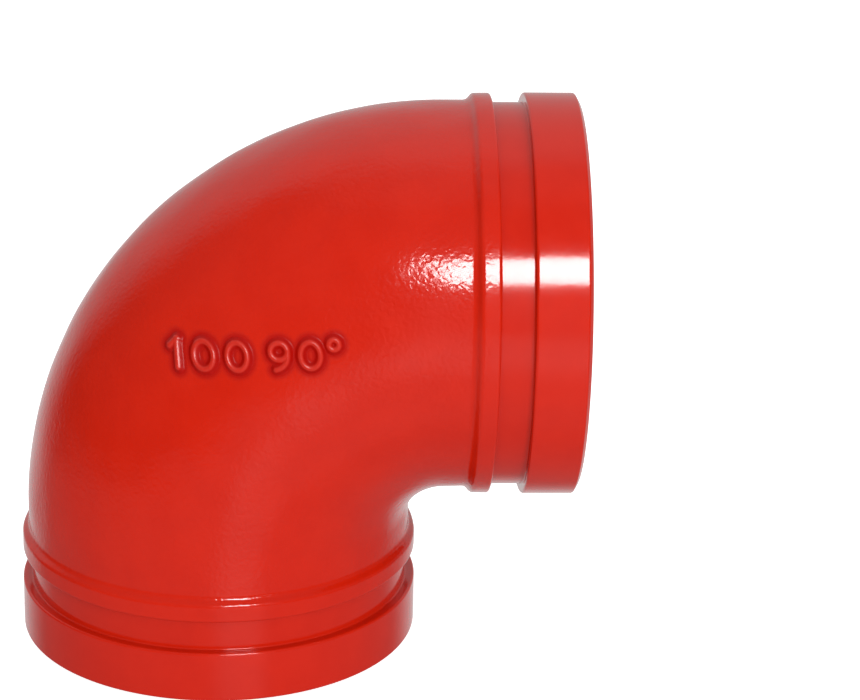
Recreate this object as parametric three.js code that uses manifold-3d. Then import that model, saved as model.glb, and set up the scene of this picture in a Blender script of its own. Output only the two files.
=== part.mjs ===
// Short-pattern 90 degree pipe elbow, nominal size 100 mm, with a grooved end on each leg.
// Millimetres, +Z up. The elbow stands on its lower end face and its other leg points along +X.
// It is one iron casting: the seat rings, grooves, beads, bend and raised size mark are all of it.

import * as THREE from "three";
import { mergeVertices } from "three/addons/utils/BufferGeometryUtils.js";
import Module from "manifold-3d";

// Grooved ends, measured along a leg from its end face
const PIPE_DIAMETER = 114.3;
const SEAT_WIDTH = 15.5;
const GROOVE_WIDTH = 9.4;
const GROOVE_DIAMETER = 108.8;
const BEAD_WIDTH = 5.6;
const BEAD_DIAMETER = 114;
const END_CHAMFER = 1.5;
const BEAD_CHAMFER = 0.5;
const BEAD_ROUND = 1.1;
const BODY_FILLET = 2;

// Bend and waterway
const CENTRE_TO_END = 101.6;
const BEND_RADIUS = 64;
const BODY_DIAMETER = 110.2;
const BORE_DIAMETER = 101;
const BORE_CHAMFER = 1.5;

// Raised size mark on the front of the bend, reading 100 90°
const MARK_RISE = 1.2;
const MARK_ROOT = 1;
const MARK_STROKE = 2;
const MARK_HALF_HEIGHT = 3.5;
const MARK_CENTRE = new THREE.Vector2(10.3, 101.8);
const MARK_TILT = THREE.MathUtils.degToRad(5);
const MARK_REACH = 60;

// Facets
const AROUND_STEPS = 64;
const BEND_STEPS = 18;
const FILLET_STEPS = 3;
const RING_STEPS = 16;

const STRAIGHT_LENGTH = CENTRE_TO_END - BEND_RADIUS;
const BEND_LENGTH = BEND_RADIUS * Math.PI / 2;
const PIPE_LENGTH = 2 * STRAIGHT_LENGTH + BEND_LENGTH;
const BEND_CENTRE = new THREE.Vector3(BEND_RADIUS, 0, STRAIGHT_LENGTH);

const wasm = await Module();
wasm.setup();

// Where the pipe's centreline is at a distance along it, and the way out of the bend there.
function centreline(along) {
  const intoBend = along - STRAIGHT_LENGTH;
  const turn = THREE.MathUtils.clamp(intoBend / BEND_RADIUS, 0, Math.PI / 2);
  const outward = new THREE.Vector3(-Math.cos(turn), 0, Math.sin(turn));
  const forward = new THREE.Vector3(Math.sin(turn), 0, Math.cos(turn));
  const straight = intoBend - turn * BEND_RADIUS;
  const centre = BEND_CENTRE.clone();
  centre.addScaledVector(outward, BEND_RADIUS);
  centre.addScaledVector(forward, straight);
  return { centre, outward };
}

// A straight turned tube bent round the elbow: its Y axis becomes the pipe's centreline.
function bentTube(profile) {
  const geometry = new THREE.LatheGeometry(profile, AROUND_STEPS);
  const position = geometry.attributes.position;
  for (let i = 0; i < position.count; i += 1) {
    const { centre, outward } = centreline(position.getY(i));
    const point = centre.addScaledVector(outward, position.getX(i));
    position.setXYZ(i, point.x, position.getZ(i), point.z);
  }
  return geometry;
}

// Radius and distance along the leg, from the end face to where the body begins.
function endProfile() {
  const ring = PIPE_DIAMETER / 2;
  const groove = GROOVE_DIAMETER / 2;
  const bead = BEAD_DIAMETER / 2;
  const body = BODY_DIAMETER / 2;
  const beadStart = SEAT_WIDTH + GROOVE_WIDTH;
  const beadEnd = beadStart + BEAD_WIDTH;
  const path = new THREE.Path();
  path.moveTo(ring - END_CHAMFER, 0);
  path.lineTo(ring, END_CHAMFER);
  path.lineTo(ring, SEAT_WIDTH);
  path.lineTo(groove, SEAT_WIDTH);
  path.lineTo(groove, beadStart);
  path.lineTo(bead - BEAD_CHAMFER, beadStart);
  path.lineTo(bead, beadStart + BEAD_CHAMFER);
  path.lineTo(bead, beadEnd - BEAD_ROUND);
  path.quadraticCurveTo(bead, beadEnd, bead - BEAD_ROUND, beadEnd);
  path.quadraticCurveTo(body, beadEnd, body, beadEnd + BODY_FILLET);
  return path.getPoints(FILLET_STEPS);
}

// The same points measured from the other end of the pipe, in the order that carries on round.
function fromFarEnd(points) {
  const mirrored = points.map((point) => new THREE.Vector2(point.x, PIPE_LENGTH - point.y));
  return mirrored.reverse();
}

function bendStations(radius) {
  const stations = [];
  for (let step = 0; step <= BEND_STEPS; step += 1) {
    const along = STRAIGHT_LENGTH + BEND_LENGTH * step / BEND_STEPS;
    stations.push(new THREE.Vector2(radius, along));
  }
  return stations;
}

function boreProfile() {
  const bore = BORE_DIAMETER / 2;
  const nearMouth = [
    new THREE.Vector2(bore + BORE_CHAMFER, 0),
    new THREE.Vector2(bore, BORE_CHAMFER),
  ];
  return [...nearMouth, ...bendStations(bore), ...fromFarEnd(nearMouth)];
}

function castingProfile() {
  const end = endProfile();
  const outside = [...end, ...bendStations(BODY_DIAMETER / 2), ...fromFarEnd(end)];
  const inside = boreProfile().reverse();
  return [...outside, ...inside, outside[0]];
}

// A thin skin over the bend, from just inside the body's surface to the top of the raised mark.
function markSkinProfile() {
  const inside = bendStations(BODY_DIAMETER / 2 - MARK_ROOT);
  const outside = bendStations(BODY_DIAMETER / 2 + MARK_RISE);
  return [...outside, ...inside.reverse(), outside[0]];
}

// Points along a curve, set off to its left by a distance.
function offsetPoints(curve, offset) {
  const points = [];
  for (let step = 0; step <= RING_STEPS; step += 1) {
    const point = curve.getPoint(step / RING_STEPS);
    const tangent = curve.getTangent(step / RING_STEPS);
    point.x -= tangent.y * offset;
    point.y += tangent.x * offset;
    points.push(point);
  }
  return points;
}

function openStroke(curve) {
  const left = offsetPoints(curve, MARK_STROKE / 2);
  const right = offsetPoints(curve, -MARK_STROKE / 2);
  return new THREE.Shape([...left, ...right.reverse()]);
}

function ringStroke(x, y, halfWidth, halfHeight) {
  const curve = new THREE.EllipseCurve(x, y, halfWidth, halfHeight);
  const shape = new THREE.Shape(offsetPoints(curve, -MARK_STROKE / 2));
  shape.holes.push(new THREE.Path(offsetPoints(curve, MARK_STROKE / 2)));
  return shape;
}

function straightStroke(x0, y0, x1, y1) {
  return openStroke(new THREE.LineCurve(new THREE.Vector2(x0, y0), new THREE.Vector2(x1, y1)));
}

function digitOne(x) {
  const top = MARK_HALF_HEIGHT;
  return [
    straightStroke(x, -top, x, top),
    straightStroke(x - 1.9, top - 1.9, x + 0.3, top + 0.1),
  ];
}

function digitZero(x) {
  return [ringStroke(x, 0, 2.7, MARK_HALF_HEIGHT)];
}

function digitNine(x) {
  const tail = new THREE.QuadraticBezierCurve(
    new THREE.Vector2(x + 2.3, 1.4),
    new THREE.Vector2(x + 2.5, -2.8),
    new THREE.Vector2(x - 1.1, -MARK_HALF_HEIGHT),
  );
  return [ringStroke(x, 1.3, 2.3, MARK_HALF_HEIGHT - 1.3), openStroke(tail)];
}

function degreeSign(x) {
  return [ringStroke(x, MARK_HALF_HEIGHT - 0.9, 1.35, 1.35)];
}

function markStrokes() {
  return [
    ...digitOne(-20.6),
    ...digitZero(-13.4),
    ...digitZero(-4.3),
    ...digitNine(7),
    ...digitZero(15.4),
    ...degreeSign(21.9),
  ];
}

// A stroke as a prism through the front half of the elbow.
function strokePrism(shape) {
  const geometry = new THREE.ExtrudeGeometry(shape, { depth: MARK_REACH, bevelEnabled: false });
  geometry.rotateZ(MARK_TILT);
  geometry.rotateX(Math.PI / 2);
  geometry.translate(MARK_CENTRE.x, 0, MARK_CENTRE.y);
  return geometry;
}

function toSolid(geometry) {
  const bare = new THREE.BufferGeometry();
  bare.setAttribute("position", geometry.attributes.position);
  bare.setIndex(geometry.index);
  const merged = mergeVertices(bare);
  const vertProperties = new Float32Array(merged.attributes.position.array);
  const triVerts = new Uint32Array(merged.index.array);
  return new wasm.Manifold(new wasm.Mesh({ numProp: 3, vertProperties, triVerts }));
}

function toGeometry(solid) {
  const mesh = solid.getMesh();
  const geometry = new THREE.BufferGeometry();
  geometry.setAttribute("position", new THREE.BufferAttribute(mesh.vertProperties, 3));
  geometry.setIndex(new THREE.BufferAttribute(mesh.triVerts, 1));
  geometry.computeVertexNormals();
  return geometry;
}

function raisedMark() {
  const prisms = markStrokes().map((shape) => toSolid(strokePrism(shape)));
  const joined = prisms.reduce((all, prism) => all.add(prism));
  return toSolid(bentTube(markSkinProfile())).intersect(joined);
}

function elbowCasting() {
  const casting = toSolid(bentTube(castingProfile())).add(raisedMark());
  const redPaint = new THREE.MeshStandardMaterial({ color: 0xc8201a, roughness: 0.3, metalness: 0 });
  const mesh = new THREE.Mesh(toGeometry(casting), redPaint);
  mesh.name = "elbow_casting";
  return mesh;
}

// The lower leg's axis is at x = 0 so far: moving the elbow puts the middle of its box there.
const elbow = new THREE.Group();
elbow.add(elbowCasting());
elbow.position.x = -(CENTRE_TO_END - PIPE_DIAMETER / 2) / 2;

export default elbow;
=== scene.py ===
"""A red painted, cast iron grooved pipe elbow, on a pale floor in a soft studio light.

Lengths are in millimetres while the casting's surface is worked out, and metres in the scene.
In the working coordinates the lower leg's axis is at x = 0 and the lower end face at z = 0.
"""

import math

import bmesh
import bpy
import numpy as np
from mathutils import Matrix, Vector


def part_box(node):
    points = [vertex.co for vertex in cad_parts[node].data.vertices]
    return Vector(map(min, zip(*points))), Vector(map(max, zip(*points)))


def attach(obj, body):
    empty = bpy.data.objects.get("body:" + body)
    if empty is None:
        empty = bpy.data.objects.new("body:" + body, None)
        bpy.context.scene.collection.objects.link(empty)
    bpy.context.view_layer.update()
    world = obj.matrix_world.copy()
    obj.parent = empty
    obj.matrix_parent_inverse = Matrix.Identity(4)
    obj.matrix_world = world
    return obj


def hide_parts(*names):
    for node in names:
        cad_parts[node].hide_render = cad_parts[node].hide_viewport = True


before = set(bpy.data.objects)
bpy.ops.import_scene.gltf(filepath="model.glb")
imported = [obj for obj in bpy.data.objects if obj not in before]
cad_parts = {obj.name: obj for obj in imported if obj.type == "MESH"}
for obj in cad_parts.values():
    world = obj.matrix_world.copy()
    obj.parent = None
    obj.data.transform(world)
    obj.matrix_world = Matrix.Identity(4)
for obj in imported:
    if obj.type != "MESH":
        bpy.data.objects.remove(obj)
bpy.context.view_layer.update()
low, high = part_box("elbow_casting")
middle = (low + high) / 2
MM = 0.001

# The casting's own sizes
PIPE_RADIUS = (high.y - low.y) / 2 / MM
CENTRE_TO_END = (high.z - low.z) / MM - PIPE_RADIUS
LEG_AXIS_X = low.x / MM + PIPE_RADIUS
BEND_RADIUS = 64.0
BODY_RADIUS = 55.1
GROOVE_RADIUS = 54.4
BEAD_RADIUS = 57.0
BORE_RADIUS = 50.5
SEAT_END = 15.5
GROOVE_END = 24.9
BEAD_END = 29.9
BEAD_FOOT = 31.6
STRAIGHT = CENTRE_TO_END - BEND_RADIUS
BEND_LENGTH = BEND_RADIUS * math.pi / 2
PIPE_LENGTH = 2 * STRAIGHT + BEND_LENGTH
BEND_CENTRE = np.array([BEND_RADIUS, 0.0, STRAIGHT])
WALL_MIDDLE = (BORE_RADIUS + BODY_RADIUS) / 2

# Radii of the painted edges and corners
MOUTH_ROUND = 1.5
END_CHAMFER = (2.0, 1.1)
END_ROUND = 0.6
SEAT_ROUND = 0.7
GROOVE_FILLET = 0.4
BEAD_ROUND = 0.7
BEAD_SHOULDER = 1.5
BODY_FILLET = 2.1

# Mesh
COLUMNS = 256
ARC_STEPS = 7
SUPPORT = 0.3
FLAT_STEP = 3.0
BODY_STEP = 1.7
BORE_STEP = 4.0
BORE_START = 6.0

# Cast skin
SKIN_WAVES = 36
SKIN_SHORTEST = 9.0
SKIN_LONGEST = 30.0
SKIN_HEIGHT = 0.07
SKIN_SEED = 11
CAST_FADE_OUTSIDE = (GROOVE_END - 1, BEAD_END)
CAST_FADE_INSIDE = (2, 8)

# Raised size mark, in its own flat coordinates
MARK_CENTRE = np.array([10.3, 101.8])
MARK_TILT = math.radians(5)
MARK_RISE = 1.2
MARK_HALF_STROKE = 1.5
MARK_RIDGE = 0.5
MARK_FOOT = 0.06
MARK_REACH = 3.4
MARK_FADE = (2.4, 1.6)
MARK_HALF_HEIGHT = 3.5
MARK_WINDOW = (25.0, 5.2)
MARK_MARGINS = (6.0, 3.5, 1.5)
ONE_PLACE = -20.6
FLAG_LENGTH = 1.9
FLAG_OVERSHOOT = (0.3, 0.1)
ZERO_PLACES = (-13.4, -4.3, 15.4)
ZERO_HALF_WIDTH = 2.7
NINE_PLACE = 7.0
NINE_BOWL_HEIGHT = 1.3
NINE_BOWL_HALF_WIDTH = 2.3
NINE_TAIL = ((2.3, 1.4), (2.5, -2.8), (-1.1, -MARK_HALF_HEIGHT))
DEGREE_PLACE = 21.9
DEGREE_RADIUS = 1.35
DEGREE_DROP = 0.9
RING_POINTS = 33
TAIL_POINTS = 13


def smoothstep(low_edge, high_edge, value):
    t = np.clip((value - low_edge) / (high_edge - low_edge), 0, 1)
    return t * t * (3 - 2 * t)


# ---- the casting's surface -------------------------------------------------------------------

def rounded_corner(before, corner, after, radius):
    """Points of an arc in place of a corner, with a support point on each flat beside it."""
    inward = (before - corner) / np.linalg.norm(before - corner)
    outward = (after - corner) / np.linalg.norm(after - corner)
    half_turn = math.acos(np.clip(inward @ -outward, -1, 1)) / 2
    reach = radius * math.tan(half_turn)
    bisector = (inward + outward) / np.linalg.norm(inward + outward)
    centre = corner + bisector * radius / math.cos(half_turn)
    start = corner + inward * reach - centre
    end = corner + outward * reach - centre
    points = [corner + inward * (reach + SUPPORT)]
    for step in range(ARC_STEPS + 1):
        share = step / ARC_STEPS
        angle = 2 * half_turn
        first = math.sin((1 - share) * angle) / math.sin(angle)
        second = math.sin(share * angle) / math.sin(angle)
        points.append(centre + start * first + end * second)
    points.append(corner + outward * (reach + SUPPORT))
    return points


def fill_flats(points, step):
    """The same profile with points added wherever two are further apart than step."""
    filled = [points[0]]
    for point in points[1:]:
        gap = np.linalg.norm(point - filled[-1])
        pieces = max(1, math.ceil(gap / step))
        start = filled[-1]
        for piece in range(1, pieces + 1):
            filled.append(start + (point - start) * piece / pieces)
    return filled


def end_profile():
    """(radius, distance along the pipe) from inside the bore's mouth, over the end, to the body."""
    corners = [
        ((BORE_RADIUS, BORE_START), None),
        ((BORE_RADIUS, 0), MOUTH_ROUND),
        ((PIPE_RADIUS - END_CHAMFER[0], 0), END_ROUND),
        ((PIPE_RADIUS, END_CHAMFER[1]), END_ROUND),
        ((PIPE_RADIUS, SEAT_END), SEAT_ROUND),
        ((GROOVE_RADIUS, SEAT_END), GROOVE_FILLET),
        ((GROOVE_RADIUS, GROOVE_END), GROOVE_FILLET),
        ((BEAD_RADIUS, GROOVE_END), BEAD_ROUND),
        ((BEAD_RADIUS, BEAD_END), BEAD_SHOULDER),
        ((BODY_RADIUS, BEAD_FOOT), BODY_FILLET),
        ((BODY_RADIUS, STRAIGHT), None),
    ]
    places = [np.array(place, float) for place, radius in corners]
    points = [places[0]]
    for i in range(1, len(corners) - 1):
        points += rounded_corner(places[i - 1], places[i], places[i + 1], corners[i][1])
    points.append(places[-1])
    return fill_flats(points, FLAT_STEP)


def casting_profile():
    """The closed outline of the straightened pipe's wall: outside, far end, then back in the bore."""
    near = end_profile()
    far = [np.array([radius, PIPE_LENGTH - along]) for radius, along in reversed(near)]
    outside = fill_flats([near[-1], far[0]], BODY_STEP)
    bore = fill_flats([far[-1], near[0]], BORE_STEP)
    return np.array(near + outside[1:-1] + far + bore[1:-1])


def pipe_axis(along):
    """The pipe's centreline at a distance along it, with the way out of the bend and the way on."""
    turn = np.clip((along - STRAIGHT) / BEND_RADIUS, 0, math.pi / 2)
    zero = np.zeros_like(turn)
    outward = np.stack([-np.cos(turn), zero, np.sin(turn)], -1)
    onward = np.stack([np.sin(turn), zero, np.cos(turn)], -1)
    straight = along - STRAIGHT - turn * BEND_RADIUS
    centre = BEND_CENTRE + outward * BEND_RADIUS + onward * straight[..., None]
    return centre, outward, onward


def pipe_coordinates(points):
    """How far along the pipe each point is, and its place on the centreline."""
    offset = points - BEND_CENTRE
    turn = np.clip(np.arctan2(offset[:, 2], -offset[:, 0]), 0, math.pi / 2)
    bent = STRAIGHT + turn * BEND_RADIUS
    onward = pipe_axis(bent)[2]
    along = bent + (offset * onward).sum(-1)
    return along, pipe_axis(along)[0]


def casting_grid():
    """Rows of vertices round the pipe, and the faces between them."""
    profile = casting_profile()
    angles = np.arange(COLUMNS) * 2 * math.pi / COLUMNS
    centre, outward, _ = pipe_axis(profile[:, 1])
    across = profile[:, :1] * np.cos(angles)
    sideways = profile[:, :1] * np.sin(angles)
    points = centre[:, None] + outward[:, None] * across[..., None]
    points[..., 1] += sideways
    rows = np.arange(len(profile))[:, None]
    columns = np.arange(COLUMNS)[None]
    next_row = (rows + 1) % len(profile)
    next_column = (columns + 1) % COLUMNS
    corners = [
        rows * COLUMNS + columns,
        next_row * COLUMNS + columns,
        next_row * COLUMNS + next_column,
        rows * COLUMNS + next_column,
    ]
    faces = np.stack(corners, -1).reshape(-1, 4)
    return points.reshape(-1, 3), faces


# ---- the raised mark, reading 100 90 degrees ---------------------------------------------------

def ring_line(x, y, half_width, half_height):
    angles = np.linspace(0, 2 * math.pi, RING_POINTS)
    return np.stack([x + half_width * np.cos(angles), y + half_height * np.sin(angles)], -1)


def bend_line(start, control, end):
    t = np.linspace(0, 1, TAIL_POINTS)[:, None]
    return (1 - t) ** 2 * start + 2 * t * (1 - t) * control + t ** 2 * end


def digit_one(x):
    top = MARK_HALF_HEIGHT
    stem = np.array([(x, -top), (x, top)])
    flag_foot = (x - FLAG_LENGTH, top - FLAG_LENGTH)
    flag_tip = (x + FLAG_OVERSHOOT[0], top + FLAG_OVERSHOOT[1])
    return [stem, np.array([flag_foot, flag_tip])]


def digit_zero(x):
    return [ring_line(x, 0, ZERO_HALF_WIDTH, MARK_HALF_HEIGHT)]


def digit_nine(x):
    bowl_half_height = MARK_HALF_HEIGHT - NINE_BOWL_HEIGHT
    bowl = ring_line(x, NINE_BOWL_HEIGHT, NINE_BOWL_HALF_WIDTH, bowl_half_height)
    tail = bend_line(*(np.array(NINE_TAIL) + (x, 0)))
    return [bowl, tail]


def degree_sign(x):
    return [ring_line(x, MARK_HALF_HEIGHT - DEGREE_DROP, DEGREE_RADIUS, DEGREE_RADIUS)]


def mark_lines():
    lines = digit_one(ONE_PLACE) + digit_nine(NINE_PLACE) + degree_sign(DEGREE_PLACE)
    for place in ZERO_PLACES:
        lines += digit_zero(place)
    return lines


def mark_coordinates(points):
    offset = points[:, [0, 2]] - MARK_CENTRE
    cos, sin = math.cos(MARK_TILT), math.sin(MARK_TILT)
    return offset @ np.array([[cos, -sin], [sin, cos]])


def in_mark_window(points, margin):
    flat = np.abs(mark_coordinates(points))
    inside = (flat[:, 0] < MARK_WINDOW[0] + margin) & (flat[:, 1] < MARK_WINDOW[1] + margin)
    along, centre = pipe_coordinates(points)
    outside_wall = np.linalg.norm(points - centre, axis=-1) > WALL_MIDDLE
    return inside & outside_wall & (points[:, 1] < 0)


def mark_gap(points):
    """How far each point on the front of the casting is from the middle of the nearest stroke."""
    flat = mark_coordinates(points)
    nearest = np.full(len(points), np.inf)
    for line in mark_lines():
        for start, end in zip(line[:-1], line[1:]):
            run = end - start
            share = np.clip((flat - start) @ run / (run @ run), 0, 1)
            gap = np.linalg.norm(flat - start - share[:, None] * run, axis=-1)
            nearest = np.minimum(nearest, gap)
    return np.where(in_mark_window(points, MARK_REACH), nearest, MARK_REACH)


def mark_relief(gap):
    """Height of the raised strokes: sloping sides, a rounded ridge, and paint drawn in at the feet."""
    slant = np.hypot(gap, MARK_RIDGE) - MARK_RIDGE
    arch = 1 - slant / (math.hypot(MARK_HALF_STROKE, MARK_RIDGE) - MARK_RIDGE)
    softened = (arch + np.sqrt(arch ** 2 + MARK_FOOT ** 2)) / 2
    return MARK_RISE * softened * smoothstep(*MARK_FADE, gap)


# ---- cast skin ---------------------------------------------------------------------------------

def skin_relief(points):
    """Long shallow waves in every direction, as on a sand casting."""
    random = np.random.default_rng(SKIN_SEED)
    height = np.zeros(len(points))
    for _ in range(SKIN_WAVES):
        direction = random.normal(size=3)
        direction /= np.linalg.norm(direction)
        wavelength = random.uniform(SKIN_SHORTEST, SKIN_LONGEST)
        phase = random.uniform(0, 2 * math.pi)
        height += np.cos(points @ direction * 2 * math.pi / wavelength + phase) * wavelength
    return height * SKIN_HEIGHT / height.std()


def cast_share(points):
    """1 on the cast skin, 0 on the smooth seats and grooves."""
    along, centre = pipe_coordinates(points)
    from_end = np.minimum(along, PIPE_LENGTH - along)
    radius = np.linalg.norm(points - centre, axis=-1)
    outside = smoothstep(*CAST_FADE_OUTSIDE, from_end)
    inside = smoothstep(*CAST_FADE_INSIDE, from_end)
    return np.where(radius < WALL_MIDDLE, inside, outside)


def body_snapped(points):
    """Points of the bend's outside moved exactly onto its surface."""
    centre = pipe_coordinates(points)[1]
    spoke = points - centre
    return centre + spoke * BODY_RADIUS / np.linalg.norm(spoke, axis=-1)[:, None]


def refined_at_mark(mesh):
    """Finer faces where the mark is raised, in three steps."""
    work = bmesh.new()
    work.from_mesh(mesh)
    for margin in MARK_MARGINS:
        middles = np.array([face.calc_center_median() for face in work.faces])
        chosen = in_mark_window(middles, margin)
        edges = set()
        for face, wanted in zip(work.faces, chosen):
            if wanted:
                edges.update(face.edges)
        edges = sorted(edges, key=lambda edge: edge.index)
        count = len(work.verts)
        bmesh.ops.subdivide_edges(work, edges=edges, cuts=1, use_grid_fill=True)
        work.verts.ensure_lookup_table()
        work.faces.ensure_lookup_table()
        work.verts.index_update()
        work.edges.index_update()
        added = work.verts[count:]
        snapped = body_snapped(np.array([vertex.co for vertex in added]))
        for vertex, place in zip(added, snapped):
            vertex.co = place
    work.to_mesh(mesh)
    work.free()


def vertex_array(mesh):
    flat = np.zeros(len(mesh.vertices) * 3)
    mesh.vertices.foreach_get("co", flat)
    return flat.reshape(-1, 3)


def make_casting():
    points, faces = casting_grid()
    mesh = bpy.data.meshes.new("painted_elbow")
    mesh.from_pydata(points.tolist(), [], faces.tolist())
    refined_at_mark(mesh)
    points = vertex_array(mesh)
    along, centre = pipe_coordinates(points)
    spoke = points - centre
    spoke /= np.linalg.norm(spoke, axis=-1)[:, None]
    cast = cast_share(points)
    gap = mark_gap(points)
    relief = cast * skin_relief(points) + mark_relief(gap)
    points = points + spoke * relief[:, None]
    mark = 1 - gap / MARK_REACH
    points[:, 0] += LEG_AXIS_X
    mesh.vertices.foreach_set("co", (points * MM).ravel())
    for name, share in (("cast", cast), ("mark", mark)):
        attribute = mesh.attributes.new(name, "FLOAT", "POINT")
        attribute.data.foreach_set("value", share.astype(np.float32))
    work = bmesh.new()
    work.from_mesh(mesh)
    bmesh.ops.recalc_face_normals(work, faces=work.faces)
    work.to_mesh(mesh)
    work.free()
    mesh.polygons.foreach_set("use_smooth", [True] * len(mesh.polygons))
    mesh.update()
    elbow = bpy.data.objects.new("painted_elbow", mesh)
    bpy.context.scene.collection.objects.link(elbow)
    return elbow


# ---- materials ---------------------------------------------------------------------------------

class Nodes:
    """A node tree being wired up."""

    def __init__(self, tree):
        self.tree = tree
        self.tree.nodes.clear()

    def add(self, kind, inputs=None, **settings):
        node = self.tree.nodes.new(kind)
        for name, value in settings.items():
            setattr(node, name, value)
        for name, value in (inputs or {}).items():
            self.feed(value, node.inputs[name])
        return node

    def feed(self, value, socket):
        if isinstance(value, bpy.types.NodeSocket):
            self.tree.links.new(value, socket)
        else:
            socket.default_value = value

    def math(self, operation, first, second=0.0, third=0.0):
        inputs = {0: first, 1: second, 2: third}
        return self.add("ShaderNodeMath", inputs, operation=operation).outputs[0]

    def noise(self, vector, scale, detail=2.0, roughness=0.5, distortion=0.0):
        inputs = {
            "Vector": vector,
            "Scale": scale,
            "Detail": detail,
            "Roughness": roughness,
            "Distortion": distortion,
        }
        return self.add("ShaderNodeTexNoise", inputs).outputs["Fac"]

    def ramp(self, value, start, end, low_value=0.0, high_value=1.0):
        """value's way from start to end as low_value to high_value, eased at both ends."""
        inputs = {
            "Value": value,
            "From Min": start,
            "From Max": end,
            "To Min": low_value,
            "To Max": high_value,
        }
        node = self.add("ShaderNodeMapRange", inputs, interpolation_type="SMOOTHSTEP")
        return node.outputs["Result"]

    def blend(self, share, first, second):
        """A colour between two, by share."""
        node = self.add("ShaderNodeMix", {"Factor": share}, data_type="RGBA")
        self.feed(first, node.inputs[6])
        self.feed(second, node.inputs[7])
        return node.outputs[2]


RED = (0.545, 0.0130, 0.0026, 1)
RED_DEEP = (0.525, 0.0118, 0.0023, 1)
# The darkest red is painted shade, laid in the hollows round the raised mark's strokes where shade
# falls.
RED_PAINTED_SHADE = (0.37, 0.0030, 0.0010, 1)
MOTTLE_SCALE = 90.0
WEAR_SCALE = 60.0
SKIN_ROUGHNESS = (0.11, 0.145)
PAINT_IOR = 1.5
FULL_GLOSS = 0.5
MARK_SURROUND = (0.0, 0.6)
NOOK_SHADE_EDGE = (0.9, 0.72)
MARK_DULLING = 0.18
NOOK_GLOSS = 0.12
PEEL_SCALE = 760.0
PEEL_DEPTH = 0.00007
SMOOTH_PEEL = 0.15


def red_paint():
    """Glossy red paint, with an orange peel that is strong on the cast skin and faint elsewhere, and
    painted shade in the hollows round the raised mark.
    """
    material = bpy.data.materials.new("red_paint")
    material.use_nodes = True
    nodes = Nodes(material.node_tree)
    place = nodes.add("ShaderNodeTexCoord").outputs["Object"]
    cast = nodes.add("ShaderNodeAttribute", attribute_name="cast").outputs["Fac"]
    mark = nodes.add("ShaderNodeAttribute", attribute_name="mark").outputs["Fac"]

    mottle = nodes.noise(place, MOTTLE_SCALE, 3.0, 0.55)
    even = nodes.blend(nodes.ramp(mottle, 0.35, 0.65), RED_DEEP, RED)
    around = nodes.ramp(mark, *MARK_SURROUND)
    # Painted shade: the colour darkens to the deep red in the hollows beside the mark's strokes, and
    # the gloss drops there too.
    nook_shade = nodes.math("MULTIPLY", around, nodes.ramp(mark, *NOOK_SHADE_EDGE))
    colour = nodes.blend(nook_shade, even, RED_PAINTED_SHADE)

    peel = nodes.noise(place, PEEL_SCALE, 0.6, 0.5, 0.5)
    height = nodes.math("MULTIPLY", peel, nodes.ramp(cast, 0.0, 1.0, SMOOTH_PEEL, 1.0))
    bump = nodes.add("ShaderNodeBump", {"Height": height, "Distance": PEEL_DEPTH, "Strength": 1.0})

    worn = nodes.noise(place, WEAR_SCALE, 4.0, 0.6)
    roughness = nodes.ramp(worn, 0.3, 0.7, *SKIN_ROUGHNESS)
    dulled = nodes.math("MULTIPLY_ADD", around, MARK_DULLING, roughness)
    surface = nodes.add("ShaderNodeBsdfPrincipled", {
        "Base Color": colour,
        "Roughness": dulled,
        "IOR": PAINT_IOR,
        "Specular IOR Level": nodes.ramp(nook_shade, 0.0, 1.0, FULL_GLOSS, NOOK_GLOSS),
        "Normal": bump.outputs["Normal"],
    })
    nodes.add("ShaderNodeOutputMaterial", {"Surface": surface.outputs[0]})
    return material


FLOOR_GREY = (0.72, 0.72, 0.72, 1)
FLOOR_ROUGHNESS = 0.9
FLOOR_GLOW = 0.85


def floor_material():
    """Evenly pale where it is seen, and a duller surface in the light that it throws back."""
    material = bpy.data.materials.new("pale_floor")
    material.use_nodes = True
    nodes = Nodes(material.node_tree)
    seen = nodes.add("ShaderNodeLightPath").outputs["Is Camera Ray"]
    surface = nodes.add("ShaderNodeBsdfPrincipled", {
        "Base Color": FLOOR_GREY,
        "Roughness": FLOOR_ROUGHNESS,
        "Emission Color": (1, 1, 1, 1),
        "Emission Strength": nodes.math("MULTIPLY", seen, FLOOR_GLOW),
    })
    nodes.add("ShaderNodeOutputMaterial", {"Surface": surface.outputs[0]})
    return material


# ---- studio ------------------------------------------------------------------------------------

FLOOR_HALF_SIDE = 6.0
BACKDROP = 1.2
FILL_LEVEL = 0.57
FILL_OVERHEAD = 0.44
ROOM_LEVEL = 0.035
ROOM_RISE = 0.1
BEHIND_LEAN = 0.45

# Brighter parts of the room: where along a direction each starts and ends, and its levels there
BEHIND = (0.45, 0.83, 0.0, 0.48)
CEILING = (0.9, 1.03, 0.0, 0.2)
TABLE = (-0.05, -0.3, 0.0, 0.22)
AHEAD = (-0.85, -1.0, 0.0, 0.05)
GLARE_RISE = (-0.6, -0.3, 0.12, 0.45)

# Edges of the glare off the table in front
GLARE_LEFT = (-0.13, 0.11)
GLARE_RIGHT = (0.5, 0.3)
GLARE_BACK = (-0.3, -0.6)
GLARE_TOP = (0.0, -0.15)

# Cards
KEY_PLACE = (0.168, -0.80, 0.603)
KEY_SIZE = (0.264, 0.235)
KEY_RADIANCE = 26.0
SOFT_PLACE = (0.36, -1.42, 0.34)
SOFT_SIZE = (0.9, 0.9)
SOFT_RADIANCE = 6.05


def make_floor():
    mesh = bpy.data.meshes.new("floor")
    side = FLOOR_HALF_SIDE
    corners = [(-side, -side, 0), (side, -side, 0), (side, side, 0), (-side, side, 0)]
    mesh.from_pydata(corners, [], [(0, 1, 2, 3)])
    mesh.materials.append(floor_material())
    floor = bpy.data.objects.new("floor", mesh)
    floor.location.z = low.z
    floor.visible_glossy = False
    bpy.context.scene.collection.objects.link(floor)


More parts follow.
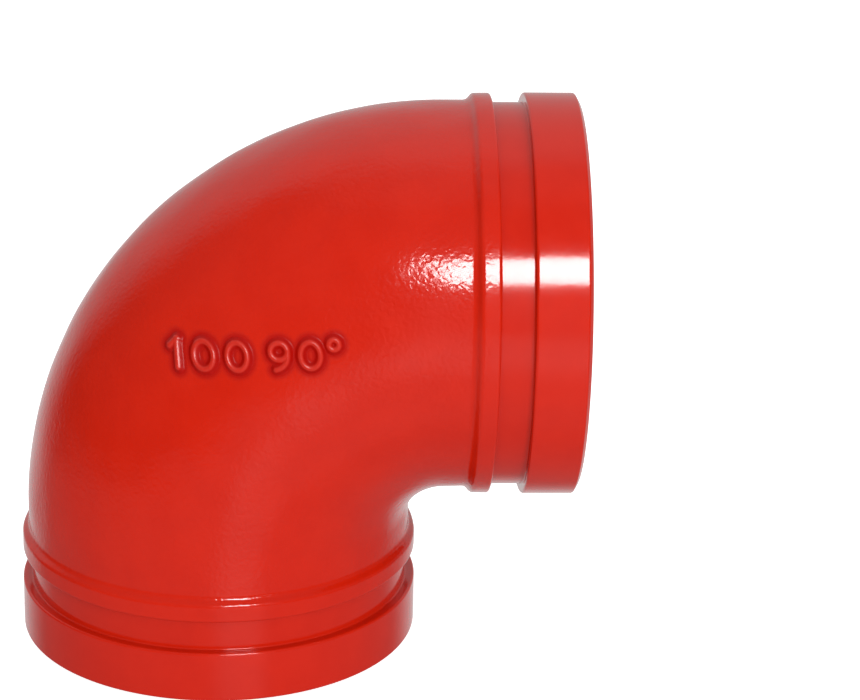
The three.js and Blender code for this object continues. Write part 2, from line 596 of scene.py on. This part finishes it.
def room_reflections(nodes, x, y, z):
    """How bright the dim room is by direction, for the gloss of the paint."""
    upward = nodes.math("MAXIMUM", z, 0.0)
    level = nodes.math("MULTIPLY_ADD", upward, ROOM_RISE, ROOM_LEVEL)
    behind = nodes.ramp(nodes.math("MULTIPLY_ADD", upward, BEHIND_LEAN, y), *BEHIND)
    ceiling = nodes.ramp(z, *CEILING)
    table = nodes.ramp(z, *TABLE)
    ahead = nodes.ramp(y, *AHEAD)
    across = nodes.math("MULTIPLY", nodes.ramp(x, *GLARE_LEFT), nodes.ramp(x, *GLARE_RIGHT))
    toward = nodes.math("MULTIPLY", across, nodes.ramp(y, *GLARE_BACK))
    upright = nodes.math("MULTIPLY", nodes.ramp(z, *GLARE_RISE), nodes.ramp(z, *GLARE_TOP))
    glare = nodes.math("MULTIPLY", toward, upright)
    room = level
    for part in (behind, ceiling, table, ahead, glare):
        room = nodes.math("ADD", part, room)
    return room


def make_world():
    """White behind the object, a soft fill from above for its shading, and a dim room in its gloss."""
    world = bpy.data.worlds.new("studio")
    world.use_nodes = True
    nodes = Nodes(world.node_tree)
    direction = nodes.add("ShaderNodeTexCoord").outputs["Generated"]
    x, y, z = nodes.add("ShaderNodeSeparateXYZ", {"Vector": direction}).outputs
    soft = nodes.math("MULTIPLY_ADD", nodes.math("MAXIMUM", z, 0.0), FILL_OVERHEAD, FILL_LEVEL)
    path = nodes.add("ShaderNodeLightPath").outputs
    fill = nodes.math("MULTIPLY", path["Is Diffuse Ray"], soft)
    gloss = nodes.math("MULTIPLY", path["Is Glossy Ray"], room_reflections(nodes, x, y, z))
    seen = nodes.math("MULTIPLY", path["Is Camera Ray"], BACKDROP)
    strength = nodes.math("ADD", nodes.math("ADD", fill, gloss), seen)
    background = nodes.add("ShaderNodeBackground", {"Color": (1, 1, 1, 1), "Strength": strength})
    nodes.add("ShaderNodeOutputWorld", {"Surface": background.outputs[0]})
    bpy.context.scene.world = world


def make_card(name, place, size, radiance, aim, diffuse, glossy):
    """A rectangular light, facing aim, of an even brightness."""
    light = bpy.data.lights.new(name, "AREA")
    light.shape = "RECTANGLE"
    light.size, light.size_y = size
    light.energy = radiance * size[0] * size[1] * math.pi
    card = bpy.data.objects.new(name, light)
    card.location = Vector(place)
    card.rotation_euler = (Vector(aim) - card.location).to_track_quat("-Z", "Y").to_euler()
    card.visible_camera = False
    card.visible_diffuse = diffuse
    card.visible_glossy = glossy
    bpy.context.scene.collection.objects.link(card)


CAMERA_AIM = (0.2417, 0, 0.0295)
CAMERA_YAW = 0.0538
CAMERA_PITCH = 0.3669
CAMERA_ROLL = 0.0215
CAMERA_DISTANCE = 0.9092
CAMERA_LENS = 132.5


def make_camera():
    """Aimed from the box's middle, moved by CAMERA_AIM shares of its sides."""
    side = high - low
    target = middle + Vector(share * length for share, length in zip(CAMERA_AIM, side))
    level = math.cos(CAMERA_PITCH)
    ahead = Vector((
        math.sin(CAMERA_YAW) * level,
        math.cos(CAMERA_YAW) * level,
        -math.sin(CAMERA_PITCH),
    ))
    right = Vector((math.cos(CAMERA_YAW), -math.sin(CAMERA_YAW), 0))
    up = right.cross(ahead)
    rolled_right = right * math.cos(CAMERA_ROLL) + up * math.sin(CAMERA_ROLL)
    rolled_up = up * math.cos(CAMERA_ROLL) - right * math.sin(CAMERA_ROLL)
    data = bpy.data.cameras.new("camera")
    data.lens = CAMERA_LENS
    camera = bpy.data.objects.new("camera", data)
    axes = Matrix((rolled_right, rolled_up, -ahead)).transposed()
    camera.matrix_world = Matrix.Translation(target - ahead * CAMERA_DISTANCE) @ axes.to_4x4()
    bpy.context.scene.collection.objects.link(camera)
    bpy.context.scene.camera = camera


elbow = make_casting()
elbow.data.materials.append(red_paint())
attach(elbow, "root")
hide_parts("elbow_casting")

make_floor()
make_world()
make_card("key_card", KEY_PLACE, KEY_SIZE, KEY_RADIANCE, middle, False, True)
make_card("soft_card", SOFT_PLACE, SOFT_SIZE, SOFT_RADIANCE, middle, True, False)
make_camera()
bpy.context.scene.view_settings.view_transform = "Standard"
